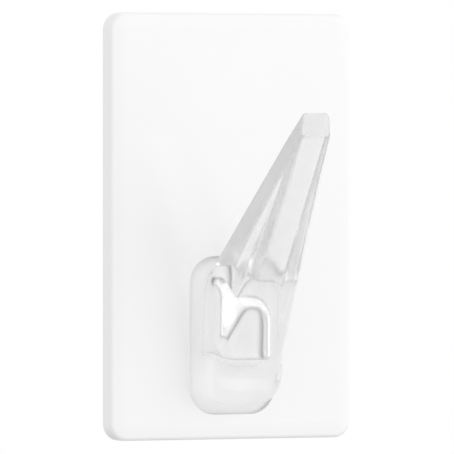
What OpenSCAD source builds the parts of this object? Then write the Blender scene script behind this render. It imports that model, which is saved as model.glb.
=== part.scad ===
// Adhesive wall hook. A clear tapered hook stands on a white face plate, and a carrier
// behind the plate holds the hook's flange and slides down onto a mounting base, which
// a stretch-release strip holds to the wall. Sizes are in millimetres. +Z is up and the
// hook points along -Y.
// The wall is the plane y = 0, and the origin is the middle of the strip's grip.

/* [Face plate] */
// Width of the face plate
plate_w = 45; // [40:0.5:60]
// Height of the face plate
plate_h = 70; // [66:0.5:90]
// Thickness of the front wall
face_wall = 1.2; // [1:0.1:2.5]
// Thickness of the side walls
side_wall = 1.4; // [1:0.1:2]
// Gap between the rear rim and the wall
rim_gap = 1.2; // [0.4:0.1:1.6]
// Width of the sloping border round the front
border_w = 2.3; // [1.5:0.1:4]
// Slope of the border, in degrees
border_tilt = 4; // [2:0.5:12]
// Corner radius of the flat field inside the border
field_corner_r = 0.6; // [0.3:0.1:2]
// Radius of the edge between the border and the sides
edge_r = 0.5; // [0.2:0.1:0.8]
// Corner radius of the hollow behind the front wall
hollow_corner_r = 1.6; // [0.5:0.1:3]

/* [Hook] */
// Distance of the hook's end face from the front of the plate
reach = 28.3; // [24:0.1:36]
// Lean of the prong's upper face away from the plate, in degrees
back_lean = 45.3; // [38:0.1:52]
// Height of the flat end face
tip_face_h = 4; // [2.5:0.1:6]
// Width of the prong at the foot of its end face
tip_w = 5.6; // [4:0.1:8]
// Radius of the end face's upper corners
tip_corner_r = 0.8; // [0.4:0.1:1.6]
// Radius of the prong's two front edges
front_edge_r = 1.4; // [0.5:0.1:2]
// Width of the prong's body at the bottom of its root
body_w = 13.8; // [10:0.1:16]
// Radius of the body's two lower corners
body_corner_r = 3.9; // [2:0.1:5]
// Depth at which the front face would meet the bottom of the root
foot_d = 3.2; // [2.5:0.1:6]
// Radius of the belly between the front face and the bottom
belly_r = 4; // [3:0.5:8]
// Width of the root where it leaves the plate
root_w = 15.8; // [13:0.1:20]
// Height of the root where it leaves the plate
root_h = 25.8; // [22:0.1:32]
// Corner radius of the root's outline
root_corner_r = 4.5; // [3:0.1:6]
// Radius of the hollow fillet between the root and the plate
root_fillet_r = 1.8; // [1:0.1:2.6]
// Distance from the plate's lower edge up to the root
root_margin = 4.2; // [3.6:0.1:10]
// Margin of the rear flange round the root
flange_margin = 2; // [1:0.1:3]
// Thickness of the rear flange
flange_t = 0.6; // [0.4:0.1:0.8]
// Width of the cored pocket in the back of the root, at its foot
pocket_w = 8.2; // [5:0.1:9]
// Width of the pocket at its top
pocket_top_w = 5.8; // [4:0.1:8]
// Depth of the pocket, from the front of the plate
pocket_d = 5; // [2:0.1:6]
// Radius of the bend between the pocket's roof and its floor
pocket_bend_r = 5.5; // [1:0.1:6]
// Distance from the bottom of the root up to the pocket
pocket_sill = 9.5; // [8:0.1:11]
// Plastic left between the pocket's roof and the valley
pocket_cap = 1.5; // [1:0.1:4]
// Gap round the hook in its window, and round the carrier in the face plate
fit_gap = 0.1; // [0.05:0.05:0.2]

/* [Carrier] */
// Thickness of the carrier behind the hook
carrier_t = 0.7; // [0.5:0.1:1.2]
// Thickness of the rails' legs
rail_t = 1.6; // [1:0.1:3]
// Thickness of the rails' lips behind the base's wings
lip_t = 0.6; // [0.4:0.1:0.7]
// Gap between the rails' lips and the thick middle of the base
lip_gap = 1; // [0.3:0.1:1.5]
// Distance that the rails end short of the base, top and bottom
rail_inset = 2; // [0.5:0.1:6]
// Width of the stop that rests on the top of the base
stop_w = 20; // [10:0.5:24]
// Height of the stop
stop_h = 2; // [1:0.1:4]
// Running gap between the carrier and the mounting base
slide_gap = 0.2; // [0.1:0.05:0.3]

/* [Mounting base] */
// Width of the mounting base over its wings
base_w = 30; // [24:0.5:34]
// Height of the mounting base
base_h = 48; // [44:0.5:54]
// Thickness of the mounting base
base_t = 1.1; // [1:0.1:2]
// Width of each wing
wing_w = 3; // [2:0.1:5]
// Thickness of each wing
wing_t = 0.6; // [0.4:0.1:0.9]
// Lead-in cut at the two upper corners
lead_in = 2; // [0.5:0.1:2.5]

/* [Strip] */
// Width of the strip
strip_w = 16; // [10:0.5:20]
// Height of the sticky grip
grip_h = 44; // [36:0.5:46]
// Thickness of each adhesive layer
glue_t = 0.15; // [0.1:0.01:0.2]
// Thickness of the foam core
core_t = 0.7; // [0.6:0.05:1.2]
// Length of the pull tab
tab_l = 9; // [5:0.1:10]
// Thickness of the tab's film
film_t = 0.12; // [0.08:0.01:0.14]
// Gap between the tab's film and the sticky grip
tab_gap = 0.2; // [0.1:0.05:0.5]

/* [Hidden] */
$fn = 64;

// Overrun of a cutter past the face it opens
over = 1;
// Growth of the edge rounding's arc, which lets it meet the two faces at clean edges
round_ease = 1.03;

// Distances out from the wall
strip_t = 2 * glue_t + core_t;
base_front = strip_t + base_t;
wing_rear = base_front - wing_t;
lip_front = wing_rear - slide_gap;
carrier_rear = base_front + slide_gap;
inner_face = carrier_rear + carrier_t;
plate_front = inner_face + face_wall;
plate_d = plate_front - rim_gap;

// Plan of the face plate
corner_r = border_w + field_corner_r;
hollow_w = plate_w - 2 * side_wall;
hollow_h = plate_h - 2 * side_wall;
rail_x = base_w / 2 + slide_gap;
rail_l = base_h - 2 * rail_inset;
lip_x = base_w / 2 - wing_w + lip_gap;

// Edge round of the face plate's border, measured from the plate's rear rim
edge_z = plate_d - tan(border_tilt) * (border_w - edge_r + edge_r * sin(border_tilt))
  - edge_r * cos(border_tilt);

// Heights on the hook, and distances out from the plate's front
root_low = -plate_h / 2 + root_margin;
root_top = root_low + root_h;
root_mid = (root_low + root_top) / 2;
fillet_l = root_fillet_r / tan(back_lean / 2);
valley_z = root_top - fillet_l;
tip_top = valley_z + reach / tan(back_lean);
tip_low = tip_top - tip_face_h;
body_low = root_low + root_fillet_r;
front_lean = atan((reach - foot_d) / (tip_low - body_low));
front_l = (tip_low - body_low) / cos(front_lean);
belly_l = belly_r / tan((90 + front_lean) / 2);
pocket_low = root_low + pocket_sill;
pocket_top = root_top - root_fillet_r - pocket_cap;

// Taper of the prong, seen square to its front face
taper = atan((body_w - tip_w) / 2 / front_l);
taper_top = tip_face_h * cos(front_lean);
taper_low = -front_l - foot_d * sin(front_lean) - over;

// Lower end of the strip
grip_low = -grip_h / 2;
tab_top = grip_low - tab_gap;
tab_low = tab_top - tab_l;

function taper_half(y) = tip_w / 2 - y * tan(taper);
function pocket_half(z) =
  pocket_w / 2 - (pocket_w - pocket_top_w) / 2 * (z - pocket_low) / (pocket_top - pocket_low);

// Stands a shape drawn in plan (x, up) on the plane at a distance from the wall
module at_depth(d) {
  translate([0, -d, 0])
    rotate([90, 0, 0])
      children();
}

// Rectangle centred on the origin with round corners
module round_rect(w, h, r) {
  square([w - 2 * r, h], center = true);
  square([w, h - 2 * r], center = true);
  for (x = [-1, 1], y = [-1, 1])
    translate([x * (w / 2 - r), y * (h / 2 - r)])
      circle(r);
}

// Half section of the face plate out to half its span: flat field, sloping border, round edge
module border_section(half) {
  polygon([
    [0, 0],
    [half, 0],
    [half, edge_z],
    [half - edge_r, edge_z],
    [half - edge_r + edge_r * sin(border_tilt), edge_z + edge_r * cos(border_tilt)],
    [half - border_w, plate_d],
    [0, plate_d]
  ]);
  translate([half - edge_r, edge_z])
    circle(edge_r);
}

// Section of the face plate across its whole span
module full_section(span) {
  border_section(span / 2);
  mirror([1, 0])
    border_section(span / 2);
}

// Outer form of the face plate, standing on its rear rim
module plate_body() {
  straight_w = plate_w - 2 * corner_r;
  straight_h = plate_h - 2 * corner_r;
  rotate([90, 0, 0])
    translate([0, 0, -straight_h / 2])
      linear_extrude(straight_h)
        full_section(plate_w);
  rotate([90, 0, 90])
    translate([0, 0, -straight_w / 2])
      linear_extrude(straight_w)
        full_section(plate_h);
  for (x = [-1, 1], y = [-1, 1])
    translate([x * straight_w / 2, y * straight_h / 2, 0])
      rotate_extrude()
        border_section(corner_r);
}

// White cover with its hollow, its window and the seat of the hook's flange
module face_plate() {
  color("white")
    difference() {
      at_depth(rim_gap)
        plate_body();
      at_depth(rim_gap - over)
        linear_extrude(inner_face - rim_gap + over)
          round_rect(hollow_w, hollow_h, hollow_corner_r);
      // open foot that lets the cover pass over the base and the tab
      at_depth(rim_gap - over)
        linear_extrude(carrier_rear - rim_gap + over)
          translate([-rail_x, -plate_h / 2 - over])
            square([2 * rail_x, side_wall + 2 * over]);
      // seat of the hook's flange
      at_depth(inner_face - over)
        linear_extrude(flange_t + over)
          translate([0, root_mid])
            root_outline(flange_margin + fit_gap);
      // window for the hook's root
      at_depth(inner_face)
        linear_extrude(face_wall + over)
          translate([0, root_mid])
            root_outline(fit_gap);
    }
}

// Inner plate that shuts the hook's flange in, with the rails and the stop behind it
module carrier() {
  color("ghostwhite") {
    at_depth(carrier_rear)
      linear_extrude(carrier_t)
        round_rect(hollow_w - 2 * fit_gap, hollow_h - 2 * fit_gap, hollow_corner_r);
    for (side = [0, 1])
      mirror([side, 0, 0])
        rail();
    at_depth(strip_t)
      linear_extrude(carrier_rear - strip_t)
        translate([-stop_w / 2, base_h / 2])
          square([stop_w, stop_h]);
  }
}

// Rail on the +X side: a leg beside the wing and a lip behind it
module rail() {
  at_depth(lip_front - lip_t)
    linear_extrude(carrier_rear - lip_front + lip_t)
      translate([rail_x, -rail_l / 2])
        square([rail_t, rail_l]);
  at_depth(lip_front - lip_t)
    linear_extrude(lip_t)
      translate([lip_x, -rail_l / 2])
        square([rail_x - lip_x + rail_t, rail_l]);
}

// Outline of the hook's root grown by a margin
module root_outline(margin) {
  round_rect(root_w + 2 * margin, root_h + 2 * margin, root_corner_r + margin);
}

// Side view of the hook, drawn as (out from the plate, up)
module hook_profile() {
  knee = [foot_d + belly_l * sin(front_lean), body_low + belly_l * cos(front_lean)];
  difference() {
    polygon([
      [0, body_low],
      [foot_d, body_low],
      [reach, tip_low],
      [reach, tip_top],
      [0, valley_z]
    ]);
    // belly between the front face and the bottom
    difference() {
      polygon([
        [foot_d - belly_l, body_low],
        [foot_d - belly_l, body_low - over],
        [foot_d + over, body_low - over],
        [foot_d + over, body_low],
        knee
      ]);
      translate([foot_d - belly_l, body_low + belly_r])
        circle(belly_r);
    }
  }
  // valley between the prong and the plate
  difference() {
    polygon([
      [0, root_top],
      [0, valley_z],
      [fillet_l * sin(back_lean), valley_z + fillet_l * cos(back_lean)]
    ]);
    translate([root_fillet_r, root_top])
      circle(root_fillet_r);
  }
}

// View of the prong square to its front face, with the foot of the end face at the origin
module hook_taper() {
  top_half = taper_half(taper_top);
  low_half = taper_half(taper_low);
  past_top = taper_top + over;
  round_x = top_half - tip_corner_r * (1 - sin(taper)) / cos(taper);
  difference() {
    polygon([
      [-low_half, taper_low],
      [low_half, taper_low],
      [taper_half(past_top), past_top],
      [-taper_half(past_top), past_top]
    ]);
    for (side = [0, 1])
      mirror([side, 0])
        difference() {
          polygon([
            [round_x, taper_top],
            [round_x, past_top + over],
            [top_half + over, past_top + over],
            [
              round_x + tip_corner_r * cos(taper) + over * cos(taper),
              taper_top - tip_corner_r + tip_corner_r * sin(taper) + over * sin(taper)
            ],
            [
              round_x + tip_corner_r * cos(taper),
              taper_top - tip_corner_r + tip_corner_r * sin(taper)
            ]
          ]);
          translate([round_x, taper_top - tip_corner_r])
            circle(tip_corner_r * round_ease);
        }
  }
}

// Frame of the prong's front face: x across, y up the face, z out of it
module at_front_face() {
  translate([0, tip_low, reach])
    rotate([front_lean, 0, 0])
      children();
}

// Piece taken off along the +X front edge to round it
module edge_cut() {
  translate([tip_w / 2, 0, 0])
    rotate([0, 0, taper])
      rotate([90, 0, 0])
        translate([0, 0, -taper_top - over])
          linear_extrude(front_l + taper_top + 2 * over)
            difference() {
              translate([-front_edge_r, -front_edge_r])
                square(front_edge_r + over);
              translate([-front_edge_r, -front_edge_r])
                circle(front_edge_r * round_ease);
            }
}

// Prong and body of the hook, from the plate's front outwards
module hook_body() {
  difference() {
    intersection() {
      translate([root_w / 2, 0, 0])
        rotate([0, -90, 0])
          linear_extrude(root_w)
            hook_profile();
      at_front_face()
        translate([0, 0, -reach - foot_d])
          linear_extrude(reach + foot_d + over)
            hook_taper();
      // the body keeps to the root's outline as far as the fillet reaches
      union() {
        linear_extrude(root_fillet_r)
          translate([0, root_mid])
            root_outline(0);
        translate([-root_w / 2, root_low, root_fillet_r])
          cube([root_w, tip_top - root_low + over, reach + over]);
      }
      // round lower corners
      linear_extrude(reach + over)
        translate([0, (body_low + tip_top) / 2 + body_corner_r])
          round_rect(body_w, tip_top - body_low + 2 * body_corner_r, body_corner_r);
    }
    at_front_face()
      for (side = [0, 1])
        mirror([side, 0, 0])
          edge_cut();
  }
}

// Half section of the hollow fillet round the root, out to half its span
module fillet_section(half) {
  difference() {
    square([half, root_fillet_r]);
    translate([half, root_fillet_r])
      circle(root_fillet_r);
  }
}

// Foot of the root, with the hollow fillet all round it
module hook_foot() {
  straight_w = root_w - 2 * root_corner_r;
  straight_h = root_h - 2 * root_corner_r;
  translate([0, root_mid, 0]) {
    for (side = [0, 1]) {
      mirror([side, 0, 0])
        rotate([90, 0, 0])
          translate([0, 0, -straight_h / 2])
            linear_extrude(straight_h)
              fillet_section(root_w / 2);
      mirror([0, side, 0])
        rotate([90, 0, 90])
          translate([0, 0, -straight_w / 2])
            linear_extrude(straight_w)
              fillet_section(root_h / 2);
    }
    for (x = [-1, 1], y = [-1, 1])
      translate([x * straight_w / 2, y * straight_h / 2, 0])
        rotate_extrude()
          fillet_section(root_corner_r);
  }
}

// Side view of the cored pocket, drawn as (out from the plate, up): its roof bends into its floor
module pocket_side() {
  bend = [pocket_d - pocket_bend_r, pocket_top - pocket_bend_r];
  difference() {
    translate([-face_wall - over, pocket_low])
      square([face_wall + over + pocket_d, pocket_top - pocket_low]);
    difference() {
      translate(bend)
        square(pocket_bend_r + over);
      translate(bend)
        circle(pocket_bend_r);
    }
  }
}

// Room of the cored pocket, which narrows towards its top
module pocket() {
  foot = pocket_low - over;
  head = pocket_top + over;
  intersection() {
    translate([pocket_w / 2 + over, 0, 0])
      rotate([0, -90, 0])
        linear_extrude(pocket_w + 2 * over)
          pocket_side();
    translate([0, 0, -face_wall - 2 * over])
      linear_extrude(face_wall + pocket_d + 3 * over)
        polygon([
          [-pocket_half(foot), foot],
          [pocket_half(foot), foot],
          [pocket_half(head), head],
          [-pocket_half(head), head]
        ]);
  }
}

// Clear hook: prong, root through the window and flange between the front wall and the carrier
module clear_hook() {
  color("lightblue", 0.4)
    difference() {
      union() {
        at_depth(plate_front) {
          hook_body();
          hook_foot();
        }
        at_depth(inner_face)
          linear_extrude(face_wall)
            translate([0, root_mid])
              root_outline(0);
        at_depth(inner_face)
          linear_extrude(flange_t)
            translate([0, root_mid])
              root_outline(flange_margin);
      }
      at_depth(plate_front)
        pocket();
    }
}

// Outline of the base with its upper corners cut for an easy start
module base_outline(w) {
  polygon([
    [-w / 2, -base_h / 2],
    [w / 2, -base_h / 2],
    [w / 2, base_h / 2 - lead_in],
    [w / 2 - lead_in, base_h / 2],
    [-w / 2 + lead_in, base_h / 2],
    [-w / 2, base_h / 2 - lead_in]
  ]);
}

// Plate that stays on the wall, thick in the middle with a wing on each side
module mounting_base() {
  color("whitesmoke") {
    at_depth(strip_t)
      linear_extrude(base_t)
        intersection() {
          base_outline(base_w);
          square([base_w - 2 * wing_w, base_h], center = true);
        }
    at_depth(wing_rear)
      linear_extrude(wing_t)
        base_outline(base_w);
  }
}

// One sticky layer of the strip, standing on a plane at a distance from the wall
module glue_layer(d) {
  at_depth(d)
    linear_extrude(glue_t)
      square([strip_w, grip_h], center = true);
}

// Sticky layer that holds the mounting base
module front_adhesive() {
  color("gainsboro")
    glue_layer(glue_t + core_t);
}

// Sticky layer that holds the wall
module wall_adhesive() {
  color("gainsboro")
    glue_layer(0);
}

// Plan of the foam core, down to the fold of the tab
module core_plan() {
  translate([-strip_w / 2, tab_low + film_t])
    square([strip_w, grip_h / 2 - tab_low - film_t]);
}

// Stretching carrier of the strip
module foam_core() {
  color("white")
    at_depth(glue_t)
      linear_extrude(core_t)
        core_plan();
}

// Film folded round the lower end of the core
module pull_tab() {
  color("lightgray")
    difference() {
      at_depth(glue_t - film_t)
        linear_extrude(core_t + 2 * film_t)
          translate([-strip_w / 2, tab_low])
            square([strip_w, tab_l]);
      at_depth(glue_t)
        linear_extrude(core_t)
          translate([-strip_w / 2 - over, tab_low + film_t])
            square([strip_w + 2 * over, tab_l]);
    }
}

face_plate();
clear_hook();
carrier();
mounting_base();
front_adhesive();
foam_core();
wall_adhesive();
pull_tab();
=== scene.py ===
"""Looks of an adhesive wall hook: a clear leaning hook on a white face plate, which
slides down over a mounting base that a stretch-release strip holds to the wall.

Everything is in metres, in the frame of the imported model: +Z is up, the wall is the
plane y = 0 and the hook points along -Y.
"""

import logging
import math
from collections.abc import Sequence
from dataclasses import dataclass
from enum import Enum

import bmesh
import bpy
from mathutils import Matrix, Vector

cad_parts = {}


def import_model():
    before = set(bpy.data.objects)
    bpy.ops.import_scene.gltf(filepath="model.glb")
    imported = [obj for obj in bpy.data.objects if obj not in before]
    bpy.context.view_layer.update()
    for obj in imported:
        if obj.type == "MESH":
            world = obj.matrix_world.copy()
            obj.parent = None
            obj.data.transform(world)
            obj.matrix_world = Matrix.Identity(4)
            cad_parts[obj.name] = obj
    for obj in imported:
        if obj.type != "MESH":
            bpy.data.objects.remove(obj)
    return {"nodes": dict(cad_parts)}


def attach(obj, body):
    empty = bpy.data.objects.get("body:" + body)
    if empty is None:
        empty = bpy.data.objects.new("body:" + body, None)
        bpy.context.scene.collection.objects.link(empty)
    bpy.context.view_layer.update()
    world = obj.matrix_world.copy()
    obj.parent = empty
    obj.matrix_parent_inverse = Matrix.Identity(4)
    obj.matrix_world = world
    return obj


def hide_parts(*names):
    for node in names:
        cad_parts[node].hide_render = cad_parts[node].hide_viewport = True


Pair = tuple[float, float]
MM = 0.001
# lengths below this count as none
NEAR = 0.01 * MM
# angle in degrees past which an edge stays sharp
CREASE = 30.0
# strips in the small rounding of a moulded edge
SMALL_STEPS = 3
# how strongly large faces set the shading beside them
FLAT_WEIGHT = 80
# points on each corner, side and end of an outline of the hook, and once round it
CORNER_STEPS, SIDE_STEPS, EDGE_STEPS = 8, 8, 6
RING = 4 * CORNER_STEPS + 2 * SIDE_STEPS + 2 * EDGE_STEPS
# colour sockets of the Mix node
MIX_A, MIX_B, MIX_RESULT = 6, 7, 2
WHITE = (1.0, 1.0, 1.0, 1.0)
log = logging.getLogger("wall_hook")


class Body(Enum):
    """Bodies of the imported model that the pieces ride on."""

    WALL_MOUNT = "wall_mount"
    FRONT = "front"


class Slot(Enum):
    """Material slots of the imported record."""

    PLATE = "white_plate"
    CLEAR = "clear_plastic"
    BASE = "base_plastic"


class Side(Enum):
    """Sides of the hook, seen from the front."""

    LEFT = -1
    RIGHT = 1


class Merge(Enum):
    """What a boolean does with the room of another solid."""

    CUT = "DIFFERENCE"
    JOIN = "UNION"


def linear(colour: str) -> tuple[float, float, float, float]:
    """Turns an sRGB hex colour into linear values.

    Args:
        colour: The colour as "#rrggbb".

    Returns:
        Linear red, green, blue and an alpha of 1.
    """
    shares = (int(colour[i : i + 2], 16) / 255 for i in (1, 3, 5))
    r, g, b = (s / 12.92 if s <= 0.04045 else ((s + 0.055) / 1.055) ** 2.4 for s in shares)
    return r, g, b, 1.0


def add_node(
    tree: bpy.types.NodeTree,
    kind: str,
    values: dict[str | int, object] | None = None,
    links: dict[str | int, bpy.types.NodeSocket] | None = None,
    **settings: object,
) -> bpy.types.Node:
    """Adds a node to a tree with its settings, socket values and links.

    Args:
        tree: The node tree.
        kind: Blender's name of the node type.
        values: Values of input sockets, by socket name or index.
        links: Output sockets that feed input sockets, by socket name or index.
        settings: Properties of the node itself.

    Returns:
        The new node.
    """
    node = tree.nodes.new(kind)
    for name, value in settings.items():
        setattr(node, name, value)
    for socket, value in (values or {}).items():
        node.inputs[socket].default_value = value
    for socket, source in (links or {}).items():
        tree.links.new(source, node.inputs[socket])
    return node


def new_material(
    name: str,
) -> tuple[bpy.types.Material, bpy.types.NodeTree, bpy.types.NodeSocket]:
    """Makes a node material that holds only its coordinates.

    Args:
        name: Name of the material.

    Returns:
        The material, its node tree and the Object coordinates.
    """
    material = bpy.data.materials.new(name)
    material.use_nodes = True
    tree = material.node_tree
    tree.nodes.clear()
    return material, tree, add_node(tree, "ShaderNodeTexCoord").outputs["Object"]


def grain_scale(size: float) -> float:
    """Returns the Noise scale that gives bumps of a real size in metres."""
    return 1 / size


def opaque_skin(
    tree: bpy.types.NodeTree,
    patterns: tuple[bpy.types.NodeSocket, bpy.types.NodeSocket],
    colours: tuple[str, str],
    roughness: Pair,
    ior: float,
    relief: Pair,
) -> None:
    """Ends a tree with an opaque surface.

    Args:
        tree: The node tree.
        patterns: The pattern that the colour follows, and the one of gloss and relief.
        colours: Colours at the pattern's low and high ends.
        roughness: Roughness at the low and high ends.
        ior: Index of refraction of the skin.
        relief: Strength and depth in metres of the relief.
    """
    tint_pattern, grain = patterns
    tint = add_node(
        tree,
        "ShaderNodeMix",
        {MIX_A: linear(colours[0]), MIX_B: linear(colours[1])},
        {"Factor": tint_pattern},
        data_type="RGBA",
    )
    gloss = add_node(
        tree,
        "ShaderNodeMapRange",
        {"To Min": roughness[0], "To Max": roughness[1]},
        {"Value": grain},
    )
    bump = add_node(
        tree, "ShaderNodeBump", {"Strength": relief[0], "Distance": relief[1]}, {"Height": grain}
    )
    skin = add_node(
        tree,
        "ShaderNodeBsdfPrincipled",
        {"IOR": ior},
        {
            "Base Color": tint.outputs[MIX_RESULT],
            "Roughness": gloss.outputs["Result"],
            "Normal": bump.outputs["Normal"],
        },
    )
    add_node(tree, "ShaderNodeOutputMaterial", links={"Surface": skin.outputs["BSDF"]})


@dataclass(frozen=True)
class MouldedPlastic:
    """Opaque moulded plastic with a faint orange peel, as ABS or polystyrene leaves a
    polished or satin tool: soft reflections with a slight waver, and no grain to see.
    """

    name: str
    colours: tuple[str, str]
    roughness: Pair
    peel: float
    bump: float
    bump_depth: float = 0.05 * MM
    ior: float = 1.53
    # slow drift of the melt, some centimetres across
    drift: float = 18 * MM

    def make(self) -> bpy.types.Material:
        """Returns the material."""
        material, tree, place = new_material(self.name)
        drift, peel = (
            add_node(
                tree,
                "ShaderNodeTexNoise",
                {"Scale": grain_scale(size), "Detail": detail},
                {"Vector": place},
            ).outputs["Fac"]
            for size, detail in ((self.drift, 2.0), (self.peel, 3.0))
        )
        relief = self.bump, self.bump_depth
        opaque_skin(tree, (drift, peel), self.colours, self.roughness, self.ior, relief)
        return material


@dataclass(frozen=True)
class DrawnSheet:
    """Sheet that was coated or drawn in one direction, so that faint streaks run along it:
    the tacky rubber of the strip, which looks wet and off-white, or the milky film of its
    tab, which is matt.
    """

    name: str
    colours: tuple[str, str]
    roughness: Pair
    ior: float
    streak: float
    stretch: float = 0.12
    relief: Pair = (0.2, 0.05 * MM)

    def make(self) -> bpy.types.Material:
        """Returns the material."""
        material, tree, place = new_material(self.name)
        drawn = add_node(
            tree, "ShaderNodeMapping", {"Scale": (1.0, 1.0, self.stretch)}, {"Vector": place}
        )
        streaks = add_node(
            tree,
            "ShaderNodeTexNoise",
            {"Scale": grain_scale(self.streak), "Detail": 3.0},
            {"Vector": drawn.outputs["Vector"]},
        ).outputs["Fac"]
        patterns = streaks, streaks
        opaque_skin(tree, patterns, self.colours, self.roughness, self.ior, self.relief)
        return material


@dataclass(frozen=True)
class ClosedCellFoam:
    """White polyethylene foam cut to a thin sheet: quite matt and soft, pitted by small round
    cells, each with painted shade that darkens it towards its middle.
    """

    name: str = "white_pe_foam"
    colours: tuple[str, str] = ("#e4e4e2", "#f6f6f4")
    roughness: Pair = (0.7, 0.85)
    ior: float = 1.5
    # real cells are near 0.2 mm: drawn larger, so that they show
    cell: float = 0.45 * MM
    relief: Pair = (0.5, 0.1 * MM)

    def make(self) -> bpy.types.Material:
        """Returns the material."""
        material, tree, place = new_material(self.name)
        cells_and_painted_shade = add_node(
            tree, "ShaderNodeTexVoronoi", {"Scale": grain_scale(self.cell)}, {"Vector": place}
        ).outputs["Distance"]
        # the cell pattern sinks each cell and also paints it darker towards its middle: painted
        # shade in the pits
        opaque_skin(tree, (cells_and_painted_shade, cells_and_painted_shade), self.colours, self.roughness, self.ior, self.relief)
        return material


@dataclass(frozen=True)
class ClearPlastic:
    """Clear acrylic from a fine tool: glassy but not quite polished, with a slow waver of
    its skin from the moulding that makes what shows through it swim a little. Its end face
    is matt and a little cloudy.
    """

    name: str = "clear_acrylic"
    colour: str = "#fefefe"
    roughness: float = 0.16
    end_roughness: float = 0.3
    end_clarity: float = 0.6
    end_face: float = 32.5 * MM
    end_skin: float = 0.1 * MM
    ior: float = 1.49
    waver: float = 5 * MM
    bump: float = 0.06
    bump_depth: float = 0.2 * MM
    shadow: str = "#585858"
    # long ways inside the plastic grey what they show
    inside: str = "#bcbcbc"
    inside_density: float = 3.0

    def make(self) -> bpy.types.Material:
        """Returns the material."""
        material, tree, place = new_material(self.name)
        waver = add_node(
            tree,
            "ShaderNodeTexNoise",
            {"Scale": grain_scale(self.waver), "Detail": 1.0},
            {"Vector": place},
        )
        bump = add_node(
            tree,
            "ShaderNodeBump",
            {"Strength": self.bump, "Distance": self.bump_depth},
            {"Height": waver.outputs["Fac"]},
        )
        # the end face comes off the tool matt and cloudy
        out = add_node(tree, "ShaderNodeSeparateXYZ", links={0: place}).outputs["Y"]
        ends = {"From Min": self.end_skin - self.end_face, "From Max": -self.end_face}
        matt, clarity = (
            add_node(
                tree,
                "ShaderNodeMapRange",
                ends | {"To Min": side, "To Max": end},
                {"Value": out},
            ).outputs["Result"]
            for side, end in ((self.roughness, self.end_roughness), (1.0, self.end_clarity))
        )
        skin = add_node(
            tree,
            "ShaderNodeBsdfPrincipled",
            {"Base Color": linear(self.colour), "IOR": self.ior, "Transmission Weight": 1.0},
            {"Normal": bump.outputs["Normal"], "Roughness": matt, "Transmission Weight": clarity},
        )
        # lamp light, and light that the plate scatters, pass straight through
        path = add_node(tree, "ShaderNodeLightPath").outputs
        passing = add_node(
            tree,
            "ShaderNodeMath",
            links={0: path["Is Shadow Ray"], 1: path["Is Diffuse Ray"]},
            operation="MAXIMUM",
        )
        # steep skin turns more of the lamp light aside
        steep = add_node(tree, "ShaderNodeLayerWeight").outputs["Facing"]
        turned = add_node(
            tree,
            "ShaderNodeMath",
            links={0: steep, 1: path["Is Shadow Ray"]},
            operation="MULTIPLY",
        )
        tint = add_node(
            tree,
            "ShaderNodeMix",
            {MIX_A: linear(self.colour), MIX_B: linear(self.shadow)},
            {"Factor": turned.outputs[0]},
            data_type="RGBA",
        )
        window = add_node(
            tree, "ShaderNodeBsdfTransparent", links={"Color": tint.outputs[MIX_RESULT]}
        )
        mix = add_node(
            tree,
            "ShaderNodeMixShader",
            links={0: passing.outputs[0], 1: skin.outputs["BSDF"], 2: window.outputs["BSDF"]},
        )
        depth = add_node(
            tree,
            "ShaderNodeVolumeAbsorption",
            {"Color": linear(self.inside), "Density": self.inside_density},
        )
        add_node(
            tree,
            "ShaderNodeOutputMaterial",
            links={"Surface": mix.outputs[0], "Volume": depth.outputs["Volume"]},
        )
        return material


def stand_up(bm: bmesh.types.BMesh) -> None:
    """Turns a mesh drawn in plan (across, up, out from the wall) into the model's frame."""
    bmesh.ops.transform(bm, matrix=Matrix.Rotation(math.radians(90), 4, "X"), verts=bm.verts)


def block(
    bm: bmesh.types.BMesh, low: Sequence[float], high: Sequence[float], rounding: float = 0.0
) -> None:
    """Adds a box to a mesh in plan.

    Args:
        bm: The mesh.
        low: Lowest corner (across, up, out).
        high: Highest corner.
        rounding: Radius of all its edges.
    """
    middle = (Vector(low) + Vector(high)) / 2
    span = Vector(high) - Vector(low)
    made = bmesh.ops.create_cube(
        bm, size=1.0, matrix=Matrix.Translation(middle) @ Matrix.Diagonal((*span, 1.0))
    )["verts"]
    if rounding:
        round_edges(bm, edges_at(made), rounding, SMALL_STEPS)


def edges_at(verts: Sequence[bmesh.types.BMVert]) -> list[bmesh.types.BMEdge]:
    """Returns the edges that meet at vertices, each once and in order."""
    return list(dict.fromkeys(e for v in verts for e in v.link_edges))


def grow(
    bm: bmesh.types.BMesh, faces: Sequence[bmesh.types.BMFace], way: tuple[float, float, float]
) -> None:
    """Extrudes a region of faces.

    Args:
        bm: The mesh.
        faces: The faces of the region.
        way: How far the region moves.
    """
    made = bmesh.ops.extrude_face_region(bm, geom=faces)["geom"]
    moved = [v for v in made if isinstance(v, bmesh.types.BMVert)]
    bmesh.ops.translate(bm, vec=way, verts=moved)


def round_edges(
    bm: bmesh.types.BMesh, edges: Sequence[bmesh.types.BMEdge], offset: float, segments: int
) -> None:
    """Rounds edges with a bevel.

    Args:
        bm: The mesh.
        edges: The edges to round.
        offset: How far the rounding reaches along both faces.
        segments: Number of strips in the rounding.
    """
    bmesh.ops.bevel(
        bm,
        geom=list(edges),
        offset=offset,
        offset_type="OFFSET",
        affect="EDGES",
        segments=segments,
        profile=0.5,
        material=-1,
        clamp_overlap=True,
    )


def round_block(
    bm: bmesh.types.BMesh,
    size: Pair,
    radius: float,
    out: Pair,
    middle_up: float = 0.0,
    segments: int = 12,
) -> None:
    """Adds an upright block with round corners, drawn in plan, to an empty mesh.

    Args:
        bm: The mesh, empty before.
        size: Width and height.
        radius: Radius of the four corners.
        out: Distances of its rear and front from the wall.
        middle_up: Height of its middle.
        segments: Strips in each corner.
    """
    half_w, half_h = size[0] / 2, size[1] / 2
    block(bm, (-half_w, middle_up - half_h, out[0]), (half_w, middle_up + half_h, out[1]))
    span = out[1] - out[0]
    corners = [e for e in bm.edges if abs(e.verts[0].co.z - e.verts[1].co.z) > span / 2]
    round_edges(bm, corners, radius, segments)


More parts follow.
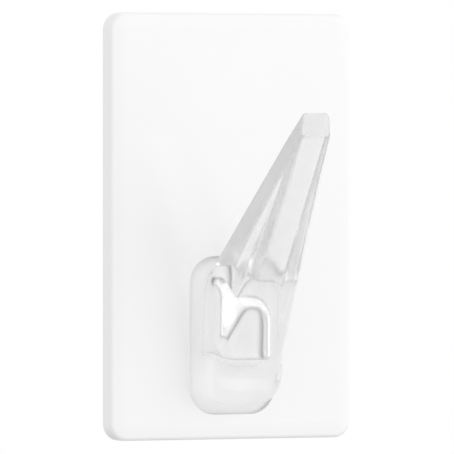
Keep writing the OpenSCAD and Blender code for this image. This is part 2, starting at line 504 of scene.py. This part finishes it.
def to_object(bm: bmesh.types.BMesh, name: str, crease: float = CREASE) -> bpy.types.Object:
    """Stands a mesh up and makes an object of it, smooth but for its sharp edges.

    Args:
        bm: The mesh, which is freed.
        name: Name of the object.
        crease: Angle in degrees past which an edge stays sharp.

    Returns:
        The object, linked to the scene.
    """
    stand_up(bm)
    mesh = bpy.data.meshes.new(name)
    for face in bm.faces:
        face.smooth = True
    bm.to_mesh(mesh)
    bm.free()
    mesh.set_sharp_from_angle(angle=math.radians(crease))
    piece = bpy.data.objects.new(name, mesh)
    bpy.context.scene.collection.objects.link(piece)
    return piece


def merge(piece: bpy.types.Object, others: Sequence[bpy.types.Object], way: Merge) -> None:
    """Cuts other solids out of a piece or joins them to it, and removes them.

    Args:
        piece: The piece to change.
        others: Closed objects.
        way: Whether their room is cut away or joined.
    """
    for other in others:
        step = piece.modifiers.new(way.name, "BOOLEAN")
        step.operation = way.value
        step.solver = "EXACT"
        step.object = other
    depsgraph = bpy.context.evaluated_depsgraph_get()
    merged = bpy.data.meshes.new_from_object(piece.evaluated_get(depsgraph))
    piece.modifiers.clear()
    merged.name = piece.data.name
    merged.set_sharp_from_angle(angle=math.radians(CREASE))
    piece.data = merged
    for other in others:
        bpy.data.objects.remove(other)


def even_shading(piece: bpy.types.Object) -> None:
    """Lets large flat faces set the shading beside their rounded edges."""
    weighted = piece.modifiers.new("even_shading", "WEIGHTED_NORMAL")
    weighted.keep_sharp = True
    weighted.weight = FLAT_WEIGHT


def dress(
    piece: bpy.types.Object,
    material: bpy.types.Material,
    body: Body,
    stands_for: str,
) -> None:
    """Gives a piece its material and its body, and hides the CAD node it stands for.

    Args:
        piece: The piece, in place.
        material: Its material.
        body: The body it rides on.
        stands_for: The CAD node that it replaces.
    """
    piece.data.materials.clear()
    piece.data.materials.append(material)
    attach(piece, body.value)
    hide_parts(stands_for)
    log.info("%s rides on %s, %d faces", piece.name, body.value, len(piece.data.polygons))


@dataclass
class FacePlate:
    """White cover: a soft sloping border round a flat field, with a window for the hook
    and a hollow behind.
    """

    width: float = 45 * MM
    height: float = 70 * MM
    rim: float = 1.2 * MM
    foot_top: float = 2.3 * MM
    inner: float = 3.0 * MM
    front: float = 4.2 * MM
    side_wall: float = 1.4 * MM
    corner: float = 2.9 * MM
    border: float = 2.3 * MM
    border_tilt: float = 6.0
    border_blend: float = 0.56 * MM
    edge: float = 0.65 * MM
    hollow_corner: float = 1.6 * MM
    window: Pair = (16.0 * MM, 26.0 * MM)
    window_corner: float = 4.6 * MM
    window_middle: float = -17.9 * MM
    seat_margin: float = 2.0 * MM
    seat_depth: float = 0.6 * MM
    foot_half: float = 15.2 * MM
    small_round: float = 0.12 * MM
    # how far a cutter reaches past what it cuts
    over: float = 1.0 * MM
    corner_steps: int = 16
    edge_steps: int = 6
    rim_steps: int = 2

    def shell(self) -> bpy.types.Object:
        """Builds the cover's outer form.

        Returns:
            The solid form, with its border and round edges.
        """
        rise = math.tan(math.radians(self.border_tilt)) * self.border
        shoulder = self.front - rise
        bm = bmesh.new()
        size, out = (self.width, self.height), (self.rim, shoulder)
        round_block(bm, size, self.corner, out, segments=self.corner_steps)
        field = max(bm.faces, key=lambda f: f.calc_center_median().z)
        rear = min(bm.faces, key=lambda f: f.calc_center_median().z)
        rear_edges = list(rear.edges)
        bmesh.ops.inset_region(
            bm, faces=[field], thickness=self.border, depth=rise, use_even_offset=True
        )
        creases = list(field.edges)
        outer = [e for e in bm.edges if all(abs(v.co.z - shoulder) < NEAR for v in e.verts)]
        round_edges(bm, creases, self.border_blend, self.edge_steps)
        round_edges(bm, [e for e in outer if e.is_valid], self.edge, self.edge_steps)
        round_edges(bm, [e for e in rear_edges if e.is_valid], self.small_round, self.rim_steps)
        return to_object(bm, "face_cover")

    def cutters(self) -> list[bpy.types.Object]:
        """Builds what is cut from the cover.

        Returns:
            The hollow with its open foot, the seat of the hook's flange and the window.
        """
        hollow, foot, seat, window = (bmesh.new() for _ in range(4))
        round_block(
            hollow,
            (self.width - 2 * self.side_wall, self.height - 2 * self.side_wall),
            self.hollow_corner,
            (self.rim - self.over, self.inner),
        )
        low = -self.height / 2
        block(
            foot,
            (-self.foot_half, low - self.over, self.rim - self.over),
            (self.foot_half, low + self.side_wall + self.over, self.foot_top),
        )
        round_block(
            seat,
            (self.window[0] + 2 * self.seat_margin, self.window[1] + 2 * self.seat_margin),
            self.window_corner + self.seat_margin,
            (self.inner - self.over, self.inner + self.seat_depth),
            self.window_middle,
        )
        round_block(
            window,
            self.window,
            self.window_corner,
            (self.inner, self.front + self.over),
            self.window_middle,
        )
        names = ("hollow_cut", "foot_cut", "seat_cut", "window_cut")
        return [to_object(bm, name) for bm, name in zip((hollow, foot, seat, window), names)]

    def build(self, material: bpy.types.Material) -> None:
        """Builds the cover and dresses it.

        Args:
            material: The white plastic.
        """
        cover = self.shell()
        merge(cover, self.cutters(), Merge.CUT)
        even_shading(cover)
        dress(cover, material, Body.FRONT, "face_plate")


def blend(a: float, b: float, share: float) -> float:
    """Returns the value that lies a share of the way from a to b."""
    return a + (b - a) * share


def blend_pair(a: Pair, b: Pair, share: float) -> Pair:
    """Returns the pair that lies a share of the way from a to b."""
    return blend(a[0], b[0], share), blend(a[1], b[1], share)


def ease(share: float) -> float:
    """Returns a share that starts and ends gently."""
    return share * share * (3 - 2 * share)


def even(reach: float) -> Pair:
    """Returns a rounding that reaches equally far across and along."""
    return reach, reach


@dataclass(frozen=True)
class Section:
    """One outline of the hook: four corners between a lower and an upper edge.

    Points of an edge are (out from the face plate, up). A corner's rounding is its
    reach (across, along).
    """

    low: Pair
    high: Pair
    low_half: float
    high_half: float
    low_round: Pair
    high_round: Pair

    @property
    def length(self) -> float:
        """Distance from the lower to the upper edge."""
        return math.dist(self.low, self.high)

    def half(self, along: float) -> float:
        """Returns half the width at a distance along from the lower edge."""
        return blend(self.low_half, self.high_half, along / self.length)

    def right_side(self) -> list[Pair]:
        """Walks the right half of the outline from the middle of its lower edge.

        Returns:
            Points (across, along the section), without the middle of the upper edge.
        """
        length, steps = self.length, EDGE_STEPS // 2
        (low_x, low_y), (high_x, high_y) = self.low_round, self.high_round
        points = [((self.half(0) - low_x) * i / steps, 0.0) for i in range(steps)]
        turns = [math.radians(90 * i / CORNER_STEPS) for i in range(CORNER_STEPS)]
        for turn in turns:
            along = low_y * (1 - math.cos(turn))
            points.append((self.half(along) - low_x * (1 - math.sin(turn)), along))
        for i in range(SIDE_STEPS):
            along = blend(low_y, length - high_y, i / SIDE_STEPS)
            points.append((self.half(along), along))
        for turn in turns:
            along = length - high_y * (1 - math.sin(turn))
            points.append((self.half(along) - high_x * (1 - math.cos(turn)), along))
        top = self.half(length) - high_x
        return points + [(top * (1 - i / steps), length) for i in range(steps)]

    def ring(self, plate_front: float) -> list[Vector]:
        """Lays the outline out in plan.

        Args:
            plate_front: Distance of the face plate's front from the wall.

        Returns:
            RING points, once round the outline.
        """
        right = self.right_side()
        left = [(-across, along) for across, along in reversed(right[1:])]
        points = []
        for across, along in [*right, (0.0, self.length), *left]:
            out, up = blend_pair(self.low, self.high, along / self.length)
            points.append(Vector((across, up, plate_front + out)))
        return points


@dataclass
class ClearHook:
    """Clear hook: a tapered prong that leans out of a rounded root, a hollow fillet where
    it meets the face plate, and behind that a flange and a cored pocket.
    """

    plate_front: float = 4.2 * MM
    inner: float = 3.0 * MM
    reach: float = 28.3 * MM
    back_lean: float = 45.3
    tip_height: float = 4.0 * MM
    tip_width: float = 5.6 * MM
    tip_corner: float = 0.8 * MM
    tip_edge: float = 0.35 * MM
    # angles in degrees of the outlines on the end face's rounded rim
    tip_angles: tuple[float, ...] = (0, 22, 45, 68)
    body_width: float = 13.8 * MM
    body_corner: float = 3.9 * MM
    foot: float = 3.2 * MM
    nose_up: float = 5.0 * MM
    nose_turn: float = 2.5 * MM
    nose_out: float = 5.7 * MM
    nose_rear: float = 3.3 * MM
    # share of the nose on its front curve, and how far the curve follows its ends
    nose_share: float = 0.4
    nose_pull: float = 0.4
    # share of the belly that lies on the nose
    belly_share: float = 0.9
    front_round: Pair = (0.8 * MM, 2.3 * MM)
    front_crown: Pair = (1.2 * MM, 2.9 * MM)
    back_round: Pair = (0.35 * MM, 0.5 * MM)
    back_stretch: float = 1.4
    # the end face's corners fade out over a sixth and a fifth of the prong
    front_fade: float = 6.0
    back_fade: float = 5.0
    valley_corner: float = 1.6 * MM
    root_width: float = 15.8 * MM
    root_height: float = 25.8 * MM
    root_corner: float = 4.5 * MM
    root_low: float = -30.8 * MM
    fillet: float = 1.8 * MM
    flange_margin: float = 2.0 * MM
    flange_thick: float = 0.6 * MM
    pocket_width: Pair = (8.2 * MM, 5.8 * MM)
    pocket_depth: float = 5.0 * MM
    pocket_sill: float = 9.5 * MM
    pocket_cap: float = 1.5 * MM
    pocket_turn: float = 5.5 * MM
    pocket_edge: float = 0.8 * MM
    pocket_corner: Pair = (0.8 * MM, 2.3 * MM)
    prong_steps: int = 36
    belly_steps: int = 40
    root_steps: int = 12
    pocket_steps: int = 14
    crease: float = 40.0

    @property
    def root_top(self) -> float:
        """Height of the root's upper end."""
        return self.root_low + self.root_height

    @property
    def valley(self) -> float:
        """Height at which the back face would meet the face plate."""
        return self.root_top - self.fillet / math.tan(math.radians(self.back_lean / 2))

    @property
    def tip_top(self) -> float:
        """Height of the end face's upper edge."""
        return self.valley + self.reach / math.tan(math.radians(self.back_lean))

    @property
    def tip_low(self) -> float:
        """Height of the end face's lower edge."""
        return self.tip_top - self.tip_height

    @property
    def body_low(self) -> float:
        """Height of the body's underside."""
        return self.root_low + self.fillet

    @property
    def front_slope(self) -> Vector:
        """Direction up the front face, as (out, up)."""
        return Vector((self.reach - self.foot, self.tip_low - self.body_low)).normalized()

    @property
    def nose_start(self) -> float:
        """Distance out at which the nose leaves the straight front face."""
        return self.foot + self.nose_up * self.front_slope.x / self.front_slope.y

    @property
    def rear(self) -> float:
        """Distance out of the flange's rear, which lies behind the plate's front."""
        return self.inner - self.plate_front

    def half_width(self, point: Pair) -> float:
        """Half width of the tapered body.

        Args:
            point: A point (out, up) on the side of the hook.

        Returns:
            Half the width there.
        """
        tip = (self.reach, self.tip_low)
        foot_to_tip = math.dist((self.foot, self.body_low), tip)
        along = (Vector(point) - Vector(tip)).dot(self.front_slope)
        taper = (self.body_width - self.tip_width) / 2 / foot_to_tip
        return min(self.tip_width / 2 - along * taper, self.body_width / 2)

    def on_front(self, out: float) -> Pair:
        """Returns the point of the straight front face at a distance out."""
        slope = self.front_slope
        return out, self.body_low + (out - self.foot) * slope.y / slope.x

    def on_back(self, out: float) -> Pair:
        """Returns the point of the back face or of the valley at a distance out."""
        lean = math.radians(self.back_lean)
        touch = self.fillet / math.tan(lean / 2) * math.sin(lean)
        if out >= touch:
            return out, self.valley + out / math.tan(lean)
        drop = math.sqrt(max(self.fillet**2 - (out - self.fillet) ** 2, 0.0))
        return out, self.root_top - drop

    def on_nose(self, share: float) -> Pair:
        """Walks the full rounded nose from the front face to the underside.

        Args:
            share: 0 at the front face, 1 at the end of the underside.

        Returns:
            The point (out, up) of the nose.
        """
        start = Vector((self.nose_start, self.body_low + self.nose_up))
        turn = Vector((self.nose_out, self.body_low + self.nose_turn))
        if share < self.nose_share:
            t = share / self.nose_share
            pull = (start - turn).length * self.nose_pull
            knots = (start, start - self.front_slope * pull, turn + Vector((0, pull)), turn)
            weights = ((1 - t) ** 3, 3 * t * (1 - t) ** 2, 3 * t * t * (1 - t), t**3)
            point = sum((k * w for k, w in zip(knots, weights)), Vector((0, 0)))
            return point.x, point.y
        t = math.radians(90 * (share - self.nose_share) / (1 - self.nose_share))
        return (
            self.nose_rear + (self.nose_out - self.nose_rear) * math.cos(t),
            self.body_low + self.nose_turn * (1 - math.sin(t)),
        )

    def tip(self) -> list[Section]:
        """Returns the outlines of the end face and of its rounded rim."""
        sections = []
        for turn in map(math.radians, self.tip_angles):
            inset = self.tip_edge * (1 - math.sin(turn))
            out = self.reach - self.tip_edge * (1 - math.cos(turn))
            low, high = self.on_front(out), self.on_back(out)
            sections.append(
                Section(
                    (out, low[1] + inset * self.front_slope.x),
                    (out, high[1] - inset),
                    self.half_width(low) - inset,
                    self.half_width(high) - inset,
                    even(self.front_round[0]),
                    even(self.tip_corner),
                )
            )
        return sections

    def prong(self) -> list[Section]:
        """Returns the outlines of the straight prong, from the tip down to the nose."""
        sections = []
        for i in range(self.prong_steps):
            share = i / self.prong_steps
            out = blend(self.reach - self.tip_edge, self.nose_start, share)
            low, high = self.on_front(out), self.on_back(out)
            across = blend(*self.front_crown, share)
            along = blend(*self.front_round, ease(share)) / self.front_slope.x
            behind = blend(*self.back_round, share)
            sections.append(
                Section(
                    low,
                    high,
                    self.half_width(low),
                    self.half_width(high),
                    blend_pair(
                        even(self.front_round[0]),
                        (across, along),
                        min(share * self.front_fade, 1.0),
                    ),
                    blend_pair(
                        even(self.tip_corner),
                        (behind, behind * self.back_stretch),
                        ease(min(share * self.back_fade, 1.0)),
                    ),
                )
            )
        return sections

    def belly(self) -> list[Section]:
        """Returns the outlines from the nose back to the root's fillet."""
        front = self.front_crown[1], self.front_round[1] / self.front_slope.x
        back = self.back_round[1], self.back_round[1] * self.back_stretch
        sections = []
        for i in range(self.belly_steps):
            share = i / self.belly_steps
            low = self.on_nose(min(share / self.belly_share, 1.0))
            if share > self.belly_share:
                past = (share - self.belly_share) / (1 - self.belly_share)
                low = (blend(self.nose_rear, self.fillet, past), self.body_low)
            high = self.on_back(blend(self.nose_start, self.fillet, share))
            sections.append(
                Section(
                    low,
                    high,
                    self.half_width(low),
                    self.half_width(high),
                    blend_pair(front, even(self.body_corner), ease(share)),
                    blend_pair(back, even(self.valley_corner), ease(share)),
                )
            )
        return sections

    def root(self) -> list[Section]:
        """Returns the outlines of the hollow fillet, down to the face plate."""
        half = self.root_width / 2
        low_start = self.half_width((self.fillet, self.body_low))
        high_start = self.half_width(self.on_back(self.fillet))
        sections = []
        for i in range(self.root_steps + 1):
            turn = math.radians(90 * i / self.root_steps)
            out = self.fillet * (1 - math.sin(turn))
            drop = self.fillet * math.cos(turn)
            spread = 1 - math.cos(turn)
            sections.append(
                Section(
                    (out, self.root_low + drop),
                    (out, self.root_top - drop),
                    blend(low_start, half, spread),
                    blend(high_start, half, spread),
                    even(blend(self.body_corner, self.root_corner, spread)),
                    even(blend(self.valley_corner, self.root_corner, spread)),
                )
            )
        return sections

    def behind(self) -> list[Section]:
        """Returns the outlines behind the face plate: neck and flange."""
        flange_front = self.rear + self.flange_thick
        sections = []
        for out, margin in (
            (flange_front, 0.0),
            (flange_front, self.flange_margin),
            (self.rear, self.flange_margin),
        ):
            half = self.root_width / 2 + margin
            corner = even(self.root_corner + margin)
            low, high = (out, self.root_low - margin), (out, self.root_top + margin)
            sections.append(Section(low, high, half, half, corner, corner))
        return sections

    def pocket(self) -> list[Section]:
        """Returns the outlines of the cored pocket, whose roof bends down into its floor."""
        sill = self.root_low + self.pocket_sill
        roof = self.root_top - self.fillet - self.pocket_cap
        low_half, high_half = self.pocket_width[0] / 2, self.pocket_width[1] / 2
        sections = []
        for i in range(-1, self.pocket_steps + 1):
            turn = math.radians(90 * max(i, 0) / self.pocket_steps)
            out = self.pocket_depth - self.pocket_turn * (1 - math.sin(turn))
            if i < 0:  # the pocket's mouth
                out = self.rear
            high = roof - self.pocket_turn * (1 - math.cos(turn))
            # the floor's rim is round
            near = max(0.0, 1 - (self.pocket_depth - out) / self.pocket_edge)
            inset = self.pocket_edge * (1 - math.sqrt(max(0.0, 1 - near**2)))
            half = blend(low_half, high_half, (high - sill) / (roof - sill))
            sections.append(
                Section(
                    (out, sill + inset),
                    (out, high - inset),
                    low_half - inset,
                    half - inset,
                    even(self.pocket_corner[0]),
                    even(self.pocket_corner[1]),
                )
            )
        return sections

    def build(self, material: bpy.types.Material) -> None:
        """Draws the hook outline by outline, from its end face to the pocket's floor.

        Args:
            material: The clear plastic.
        """
        parts = (self.tip, self.prong, self.belly, self.root, self.behind, self.pocket)
        end, *others = (section for part in parts for section in part())
        bm = bmesh.new()
        ring = bmesh.ops.create_circle(bm, cap_ends=True, radius=1.0, segments=RING)["verts"]
        for vert, point in zip(ring, end.ring(self.plate_front)):
            vert.co = point
        edges = edges_at(ring)
        for section in others:
            made = bmesh.ops.extrude_edge_only(bm, edges=edges)["geom"]
            fresh = {v for v in made if isinstance(v, bmesh.types.BMVert)}
            edges = [e for e in made if isinstance(e, bmesh.types.BMEdge)]
            ring = [
                next(w for w in (e.other_vert(v) for e in v.link_edges) if w in fresh) for v in ring
            ]
            for vert, point in zip(ring, section.ring(self.plate_front)):
                vert.co = point
        bmesh.ops.contextual_create(bm, geom=edges)
        bmesh.ops.recalc_face_normals(bm, faces=bm.faces)
        hook = to_object(bm, "clear_hook_body", self.crease)
        dress(hook, material, Body.FRONT, "clear_hook")


@dataclass
class Carrier:
    """Inner plate that shuts the hook's flange in. Two rails behind it run on the base's
    wings, and a stop rests on the base's top edge.
    """

    size: Pair = (42.0 * MM, 67.0 * MM)
    corner: float = 1.6 * MM
    rear: float = 2.3 * MM
    # sinks a little into the hook's flange, so that no air lies between them
    front: float = 3.02 * MM
    rail_from: float = 15.2 * MM
    rail_thick: float = 1.6 * MM
    rail_half: float = 22.0 * MM
    lip_from: float = 13.0 * MM
    lip_rear: float = 0.7 * MM
    lip_thick: float = 0.6 * MM
    stop_half: float = 10.0 * MM
    stop_low: float = 24.0 * MM
    stop_height: float = 2.0 * MM
    stop_rear: float = 1.0 * MM
    # how deep the stop and the rails root in the plate
    sunk: float = 0.3 * MM
    small_round: float = 0.12 * MM

    def stop(self) -> bpy.types.Object:
        """Returns the stop, with its root inside the plate."""
        bm = bmesh.new()
        block(
            bm,
            (-self.stop_half, self.stop_low, self.stop_rear),
            (self.stop_half, self.stop_low + self.stop_height, self.rear + self.sunk),
            self.small_round,
        )
        return to_object(bm, "carrier_stop")

    def rail(self, side: Side) -> bpy.types.Object:
        """Builds a rail: a leg with a lip that reaches behind the base's wing.

        Args:
            side: The side it stands on.

        Returns:
            The rail, with its root inside the plate.
        """
        root = self.rear + self.sunk
        outer = self.rail_from + self.rail_thick
        lip_front = self.lip_rear + self.lip_thick
        profile = (
            (self.lip_from, self.lip_rear),
            (outer, self.lip_rear),
            (outer, root),
            (self.rail_from, root),
            (self.rail_from, lip_front),
            (self.lip_from, lip_front),
        )
        bm = bmesh.new()
        end = bm.faces.new(
            [bm.verts.new((side.value * x, -self.rail_half, out)) for x, out in profile]
        )
        grow(bm, [end], (0, 2 * self.rail_half, 0))
        bmesh.ops.recalc_face_normals(bm, faces=bm.faces)
        round_edges(bm, list(bm.edges), self.small_round, SMALL_STEPS)
        return to_object(bm, "carrier_rail")

    def build(self, material: bpy.types.Material) -> None:
        """Builds the carrier with its rails and stop, and dresses it.

        Args:
            material: The satin white plastic.
        """
        bm = bmesh.new()
        round_block(bm, self.size, self.corner, (self.rear, self.front))
        carrier = to_object(bm, "carrier_plate")
        merge(carrier, [self.stop(), *map(self.rail, Side)], Merge.JOIN)
        even_shading(carrier)
        dress(carrier, material, Body.FRONT, "carrier")


@dataclass
class MountingBase:
    """Flat base that stays on the wall: thick in the middle, with a thin wing on each
    side for the carrier's rails and a lead-in at the two upper corners.
    """

    half_width: float = 15.0 * MM
    half_height: float = 24.0 * MM
    wing: float = 3.0 * MM
    rear: float = 1.0 * MM
    wing_rear: float = 1.5 * MM
    front: float = 2.1 * MM
    lead_in: float = 2.0 * MM
    small_round: float = 0.12 * MM

    def build(self, material: bpy.types.Material) -> None:
        """Builds the base and dresses it.

        Args:
            material: The satin white plastic.
        """
        bm = bmesh.new()
        block(
            bm,
            (-self.half_width, -self.half_height, self.wing_rear),
            (self.half_width, self.half_height, self.front),
        )
        upper = [
            e
            for e in bm.edges
            if all(v.co.y > 0 for v in e.verts)
            and abs(e.verts[0].co.z - e.verts[1].co.z) > NEAR
        ]
        round_edges(bm, upper, self.lead_in, 1)
        middle = self.half_width - self.wing
        for side in Side:
            bmesh.ops.bisect_plane(
                bm,
                geom=[*bm.verts, *bm.edges, *bm.faces],
                plane_co=(side.value * middle, 0, 0),
                plane_no=(1, 0, 0),
            )
        thick = [
            f
            for f in bm.faces
            if all(abs(v.co.z - self.wing_rear) < NEAR for v in f.verts)
            and abs(f.calc_center_median().x) < middle
        ]
        grow(bm, thick, (0, 0, self.rear - self.wing_rear))
        bmesh.ops.delete(bm, geom=thick, context="FACES_ONLY")
        bmesh.ops.recalc_face_normals(bm, faces=bm.faces)
        flat = math.radians(1)
        bmesh.ops.dissolve_limit(bm, angle_limit=flat, verts=bm.verts, edges=bm.edges)
        sharp = [e for e in bm.edges if e.calc_face_angle(0.0) > math.radians(CREASE)]
        round_edges(bm, sharp, self.small_round, SMALL_STEPS)
        base = to_object(bm, "mounting_base_body")
        even_shading(base)
        dress(base, material, Body.WALL_MOUNT, "mounting_base")


@dataclass
class PhotoCamera:
    """Camera at the photograph's viewing angle, with a very long lens."""

    azimuth: float = -28.4
    elevation: float = 0.5
    distance: float = 1.38
    target: tuple[float, float, float] = (0.0, -4.2 * MM, 0.0)
    across: float = -0.887 * MM
    up: float = -0.115 * MM
    field: float = 74.6 * MM
    sensor: float = 36.0
    clip: Pair = (0.05, 20.0)

    def build(self) -> None:
        """Makes the camera and sets it as the scene's."""
        turn, tilt = math.radians(self.azimuth), math.radians(self.elevation)
        back = Vector(
            (math.sin(turn) * math.cos(tilt), -math.cos(turn) * math.cos(tilt), math.sin(tilt))
        )
        facing = (-back).to_track_quat("-Z", "Y")
        aim = Vector(self.target) + facing @ Vector((self.across, self.up, 0))
        data = bpy.data.cameras.new("photo_camera")
        data.sensor_width = self.sensor
        data.lens = self.sensor * self.distance / self.field
        data.clip_start, data.clip_end = self.clip
        camera = bpy.data.objects.new("photo_camera", data)
        camera.location = aim + back * self.distance
        camera.rotation_mode = "QUATERNION"
        camera.rotation_quaternion = facing
        bpy.context.scene.collection.objects.link(camera)
        bpy.context.scene.camera = camera


@dataclass
class Lamp:
    """Soft rectangular lamp that faces the hook."""

    name: str
    place: tuple[float, float, float]
    size: Pair
    power: float

    def build(self) -> None:
        """Makes the lamp."""
        data = bpy.data.lights.new(self.name, "AREA")
        data.shape = "RECTANGLE"
        data.size, data.size_y = self.size
        data.energy = self.power
        lamp = bpy.data.objects.new(self.name, data)
        lamp.location = self.place
        lamp.rotation_mode = "QUATERNION"
        lamp.rotation_quaternion = (-Vector(self.place)).to_track_quat("-Z", "Y")
        lamp.visible_glossy = False
        bpy.context.scene.collection.objects.link(lamp)


@dataclass
class Studio:
    """Plain pale floor, white background and soft light."""

    floor_low: float = -0.2
    floor_radius: float = 0.8
    floor_steps: int = 96
    floor_colour: str = "#d6d6d6"
    # shares of the radius between which the floor fades into the background
    floor_fade: Pair = (0.4, 0.95)
    ambient: float = 0.8
    # light bounces many times inside the clear hook
    bounces: int = 40

    def background(self) -> None:
        """Makes the world: white where it is seen, softer where it lights the hook."""
        world = bpy.data.worlds.new("studio")
        world.use_nodes = True
        tree = world.node_tree
        tree.nodes.clear()
        path = add_node(tree, "ShaderNodeLightPath").outputs
        seen = path["Is Camera Ray"]
        for ray in ("Is Glossy Ray", "Is Transmission Ray"):
            seen = add_node(
                tree, "ShaderNodeMath", links={0: seen, 1: path[ray]}, operation="MAXIMUM"
            ).outputs[0]
        light, white = (
            add_node(tree, "ShaderNodeBackground", {"Color": WHITE, "Strength": power}).outputs[0]
            for power in (self.ambient, 1.0)
        )
        mix = add_node(tree, "ShaderNodeMixShader", links={0: seen, 1: light, 2: white})
        add_node(tree, "ShaderNodeOutputWorld", links={"Surface": mix.outputs[0]})
        bpy.context.scene.world = world

    def floor(self) -> None:
        """Makes a round pale floor that fades into the white background."""
        bm = bmesh.new()
        bmesh.ops.create_circle(
            bm,
            cap_ends=True,
            radius=self.floor_radius,
            segments=self.floor_steps,
            matrix=Matrix.Translation((0, 0, self.floor_low)),
        )
        mesh = bpy.data.meshes.new("floor")
        bm.to_mesh(mesh)
        bm.free()
        floor = bpy.data.objects.new("floor", mesh)
        bpy.context.scene.collection.objects.link(floor)
        material, tree, place = new_material("pale_floor")
        distance = add_node(tree, "ShaderNodeVectorMath", links={0: place}, operation="LENGTH")
        start, end = (self.floor_radius * share for share in self.floor_fade)
        fade = add_node(
            tree,
            "ShaderNodeMapRange",
            {"From Min": start, "From Max": end},
            {"Value": distance.outputs["Value"]},
            interpolation_type="SMOOTHSTEP",
        )
        pale = add_node(tree, "ShaderNodeBsdfDiffuse", {"Color": linear(self.floor_colour)})
        white = add_node(tree, "ShaderNodeEmission", {"Color": WHITE, "Strength": 1.0})
        mix = add_node(
            tree,
            "ShaderNodeMixShader",
            links={0: fade.outputs["Result"], 1: pale.outputs[0], 2: white.outputs[0]},
        )
        add_node(tree, "ShaderNodeOutputMaterial", links={"Surface": mix.outputs[0]})
        mesh.materials.append(material)

    def build(self) -> None:
        """Sets up the background, the floor and the lamps."""
        self.background()
        self.floor()
        for lamp in (
            Lamp("key", (0.703, -0.703, 0.105), (0.9, 0.9), 4.0),
            Lamp("fill", (-0.9, -0.4, 0.1), (0.9, 0.9), 0.8),
        ):
            lamp.build()
        scene = bpy.context.scene
        scene.view_settings.view_transform = "Standard"
        cycles = scene.cycles
        cycles.max_bounces = cycles.glossy_bounces = self.bounces
        cycles.transmission_bounces = cycles.transparent_max_bounces = self.bounces


WHITE_ABS = MouldedPlastic(
    "white_abs_gloss", ("#f8f8f8", "#f6f6f6"), (0.2, 0.26), peel=0.6 * MM, bump=0.05
)
BASE_ABS = MouldedPlastic(
    "white_abs_satin", ("#fafafa", "#f7f7f7"), (0.38, 0.46), peel=0.5 * MM, bump=0.12
)
RUBBER_GLUE = DrawnSheet(
    "tacky_rubber_coated", ("#f4f2ec", "#e8e5da"), (0.2, 0.34), ior=1.52, streak=1.2 * MM
)
TAB_FILM = DrawnSheet(
    "pe_film_matt", ("#f1f2f3", "#e6e8ea"), (0.5, 0.62), ior=1.51, streak=0.9 * MM
)


def finish_strip(nodes: dict[str, bpy.types.Object]) -> None:
    """Gives the strip's pieces, which stay as the CAD draws them, their finishes.

    Args:
        nodes: The CAD nodes by name.
    """
    glue = RUBBER_GLUE.make()
    finishes = {
        "front_adhesive": glue,
        "foam_core": ClosedCellFoam().make(),
        "wall_adhesive": glue,
        "pull_tab": TAB_FILM.make(),
    }
    for name, material in finishes.items():
        for slot in nodes[name].material_slots:
            slot.material = material
        log.info("%s shown in %s", name, material.name)


def main() -> None:
    """Builds the pieces in order and reports each."""
    logging.basicConfig(level=logging.INFO, format="%(name)s: %(message)s")
    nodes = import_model()["nodes"]
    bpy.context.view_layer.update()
    PhotoCamera().build()
    Studio().build()
    FacePlate().build(WHITE_ABS.make())
    ClearHook().build(ClearPlastic().make())
    satin = BASE_ABS.make()
    Carrier().build(satin)
    MountingBase().build(satin)
    finish_strip(nodes)


if __name__ == "__main__":
    main()
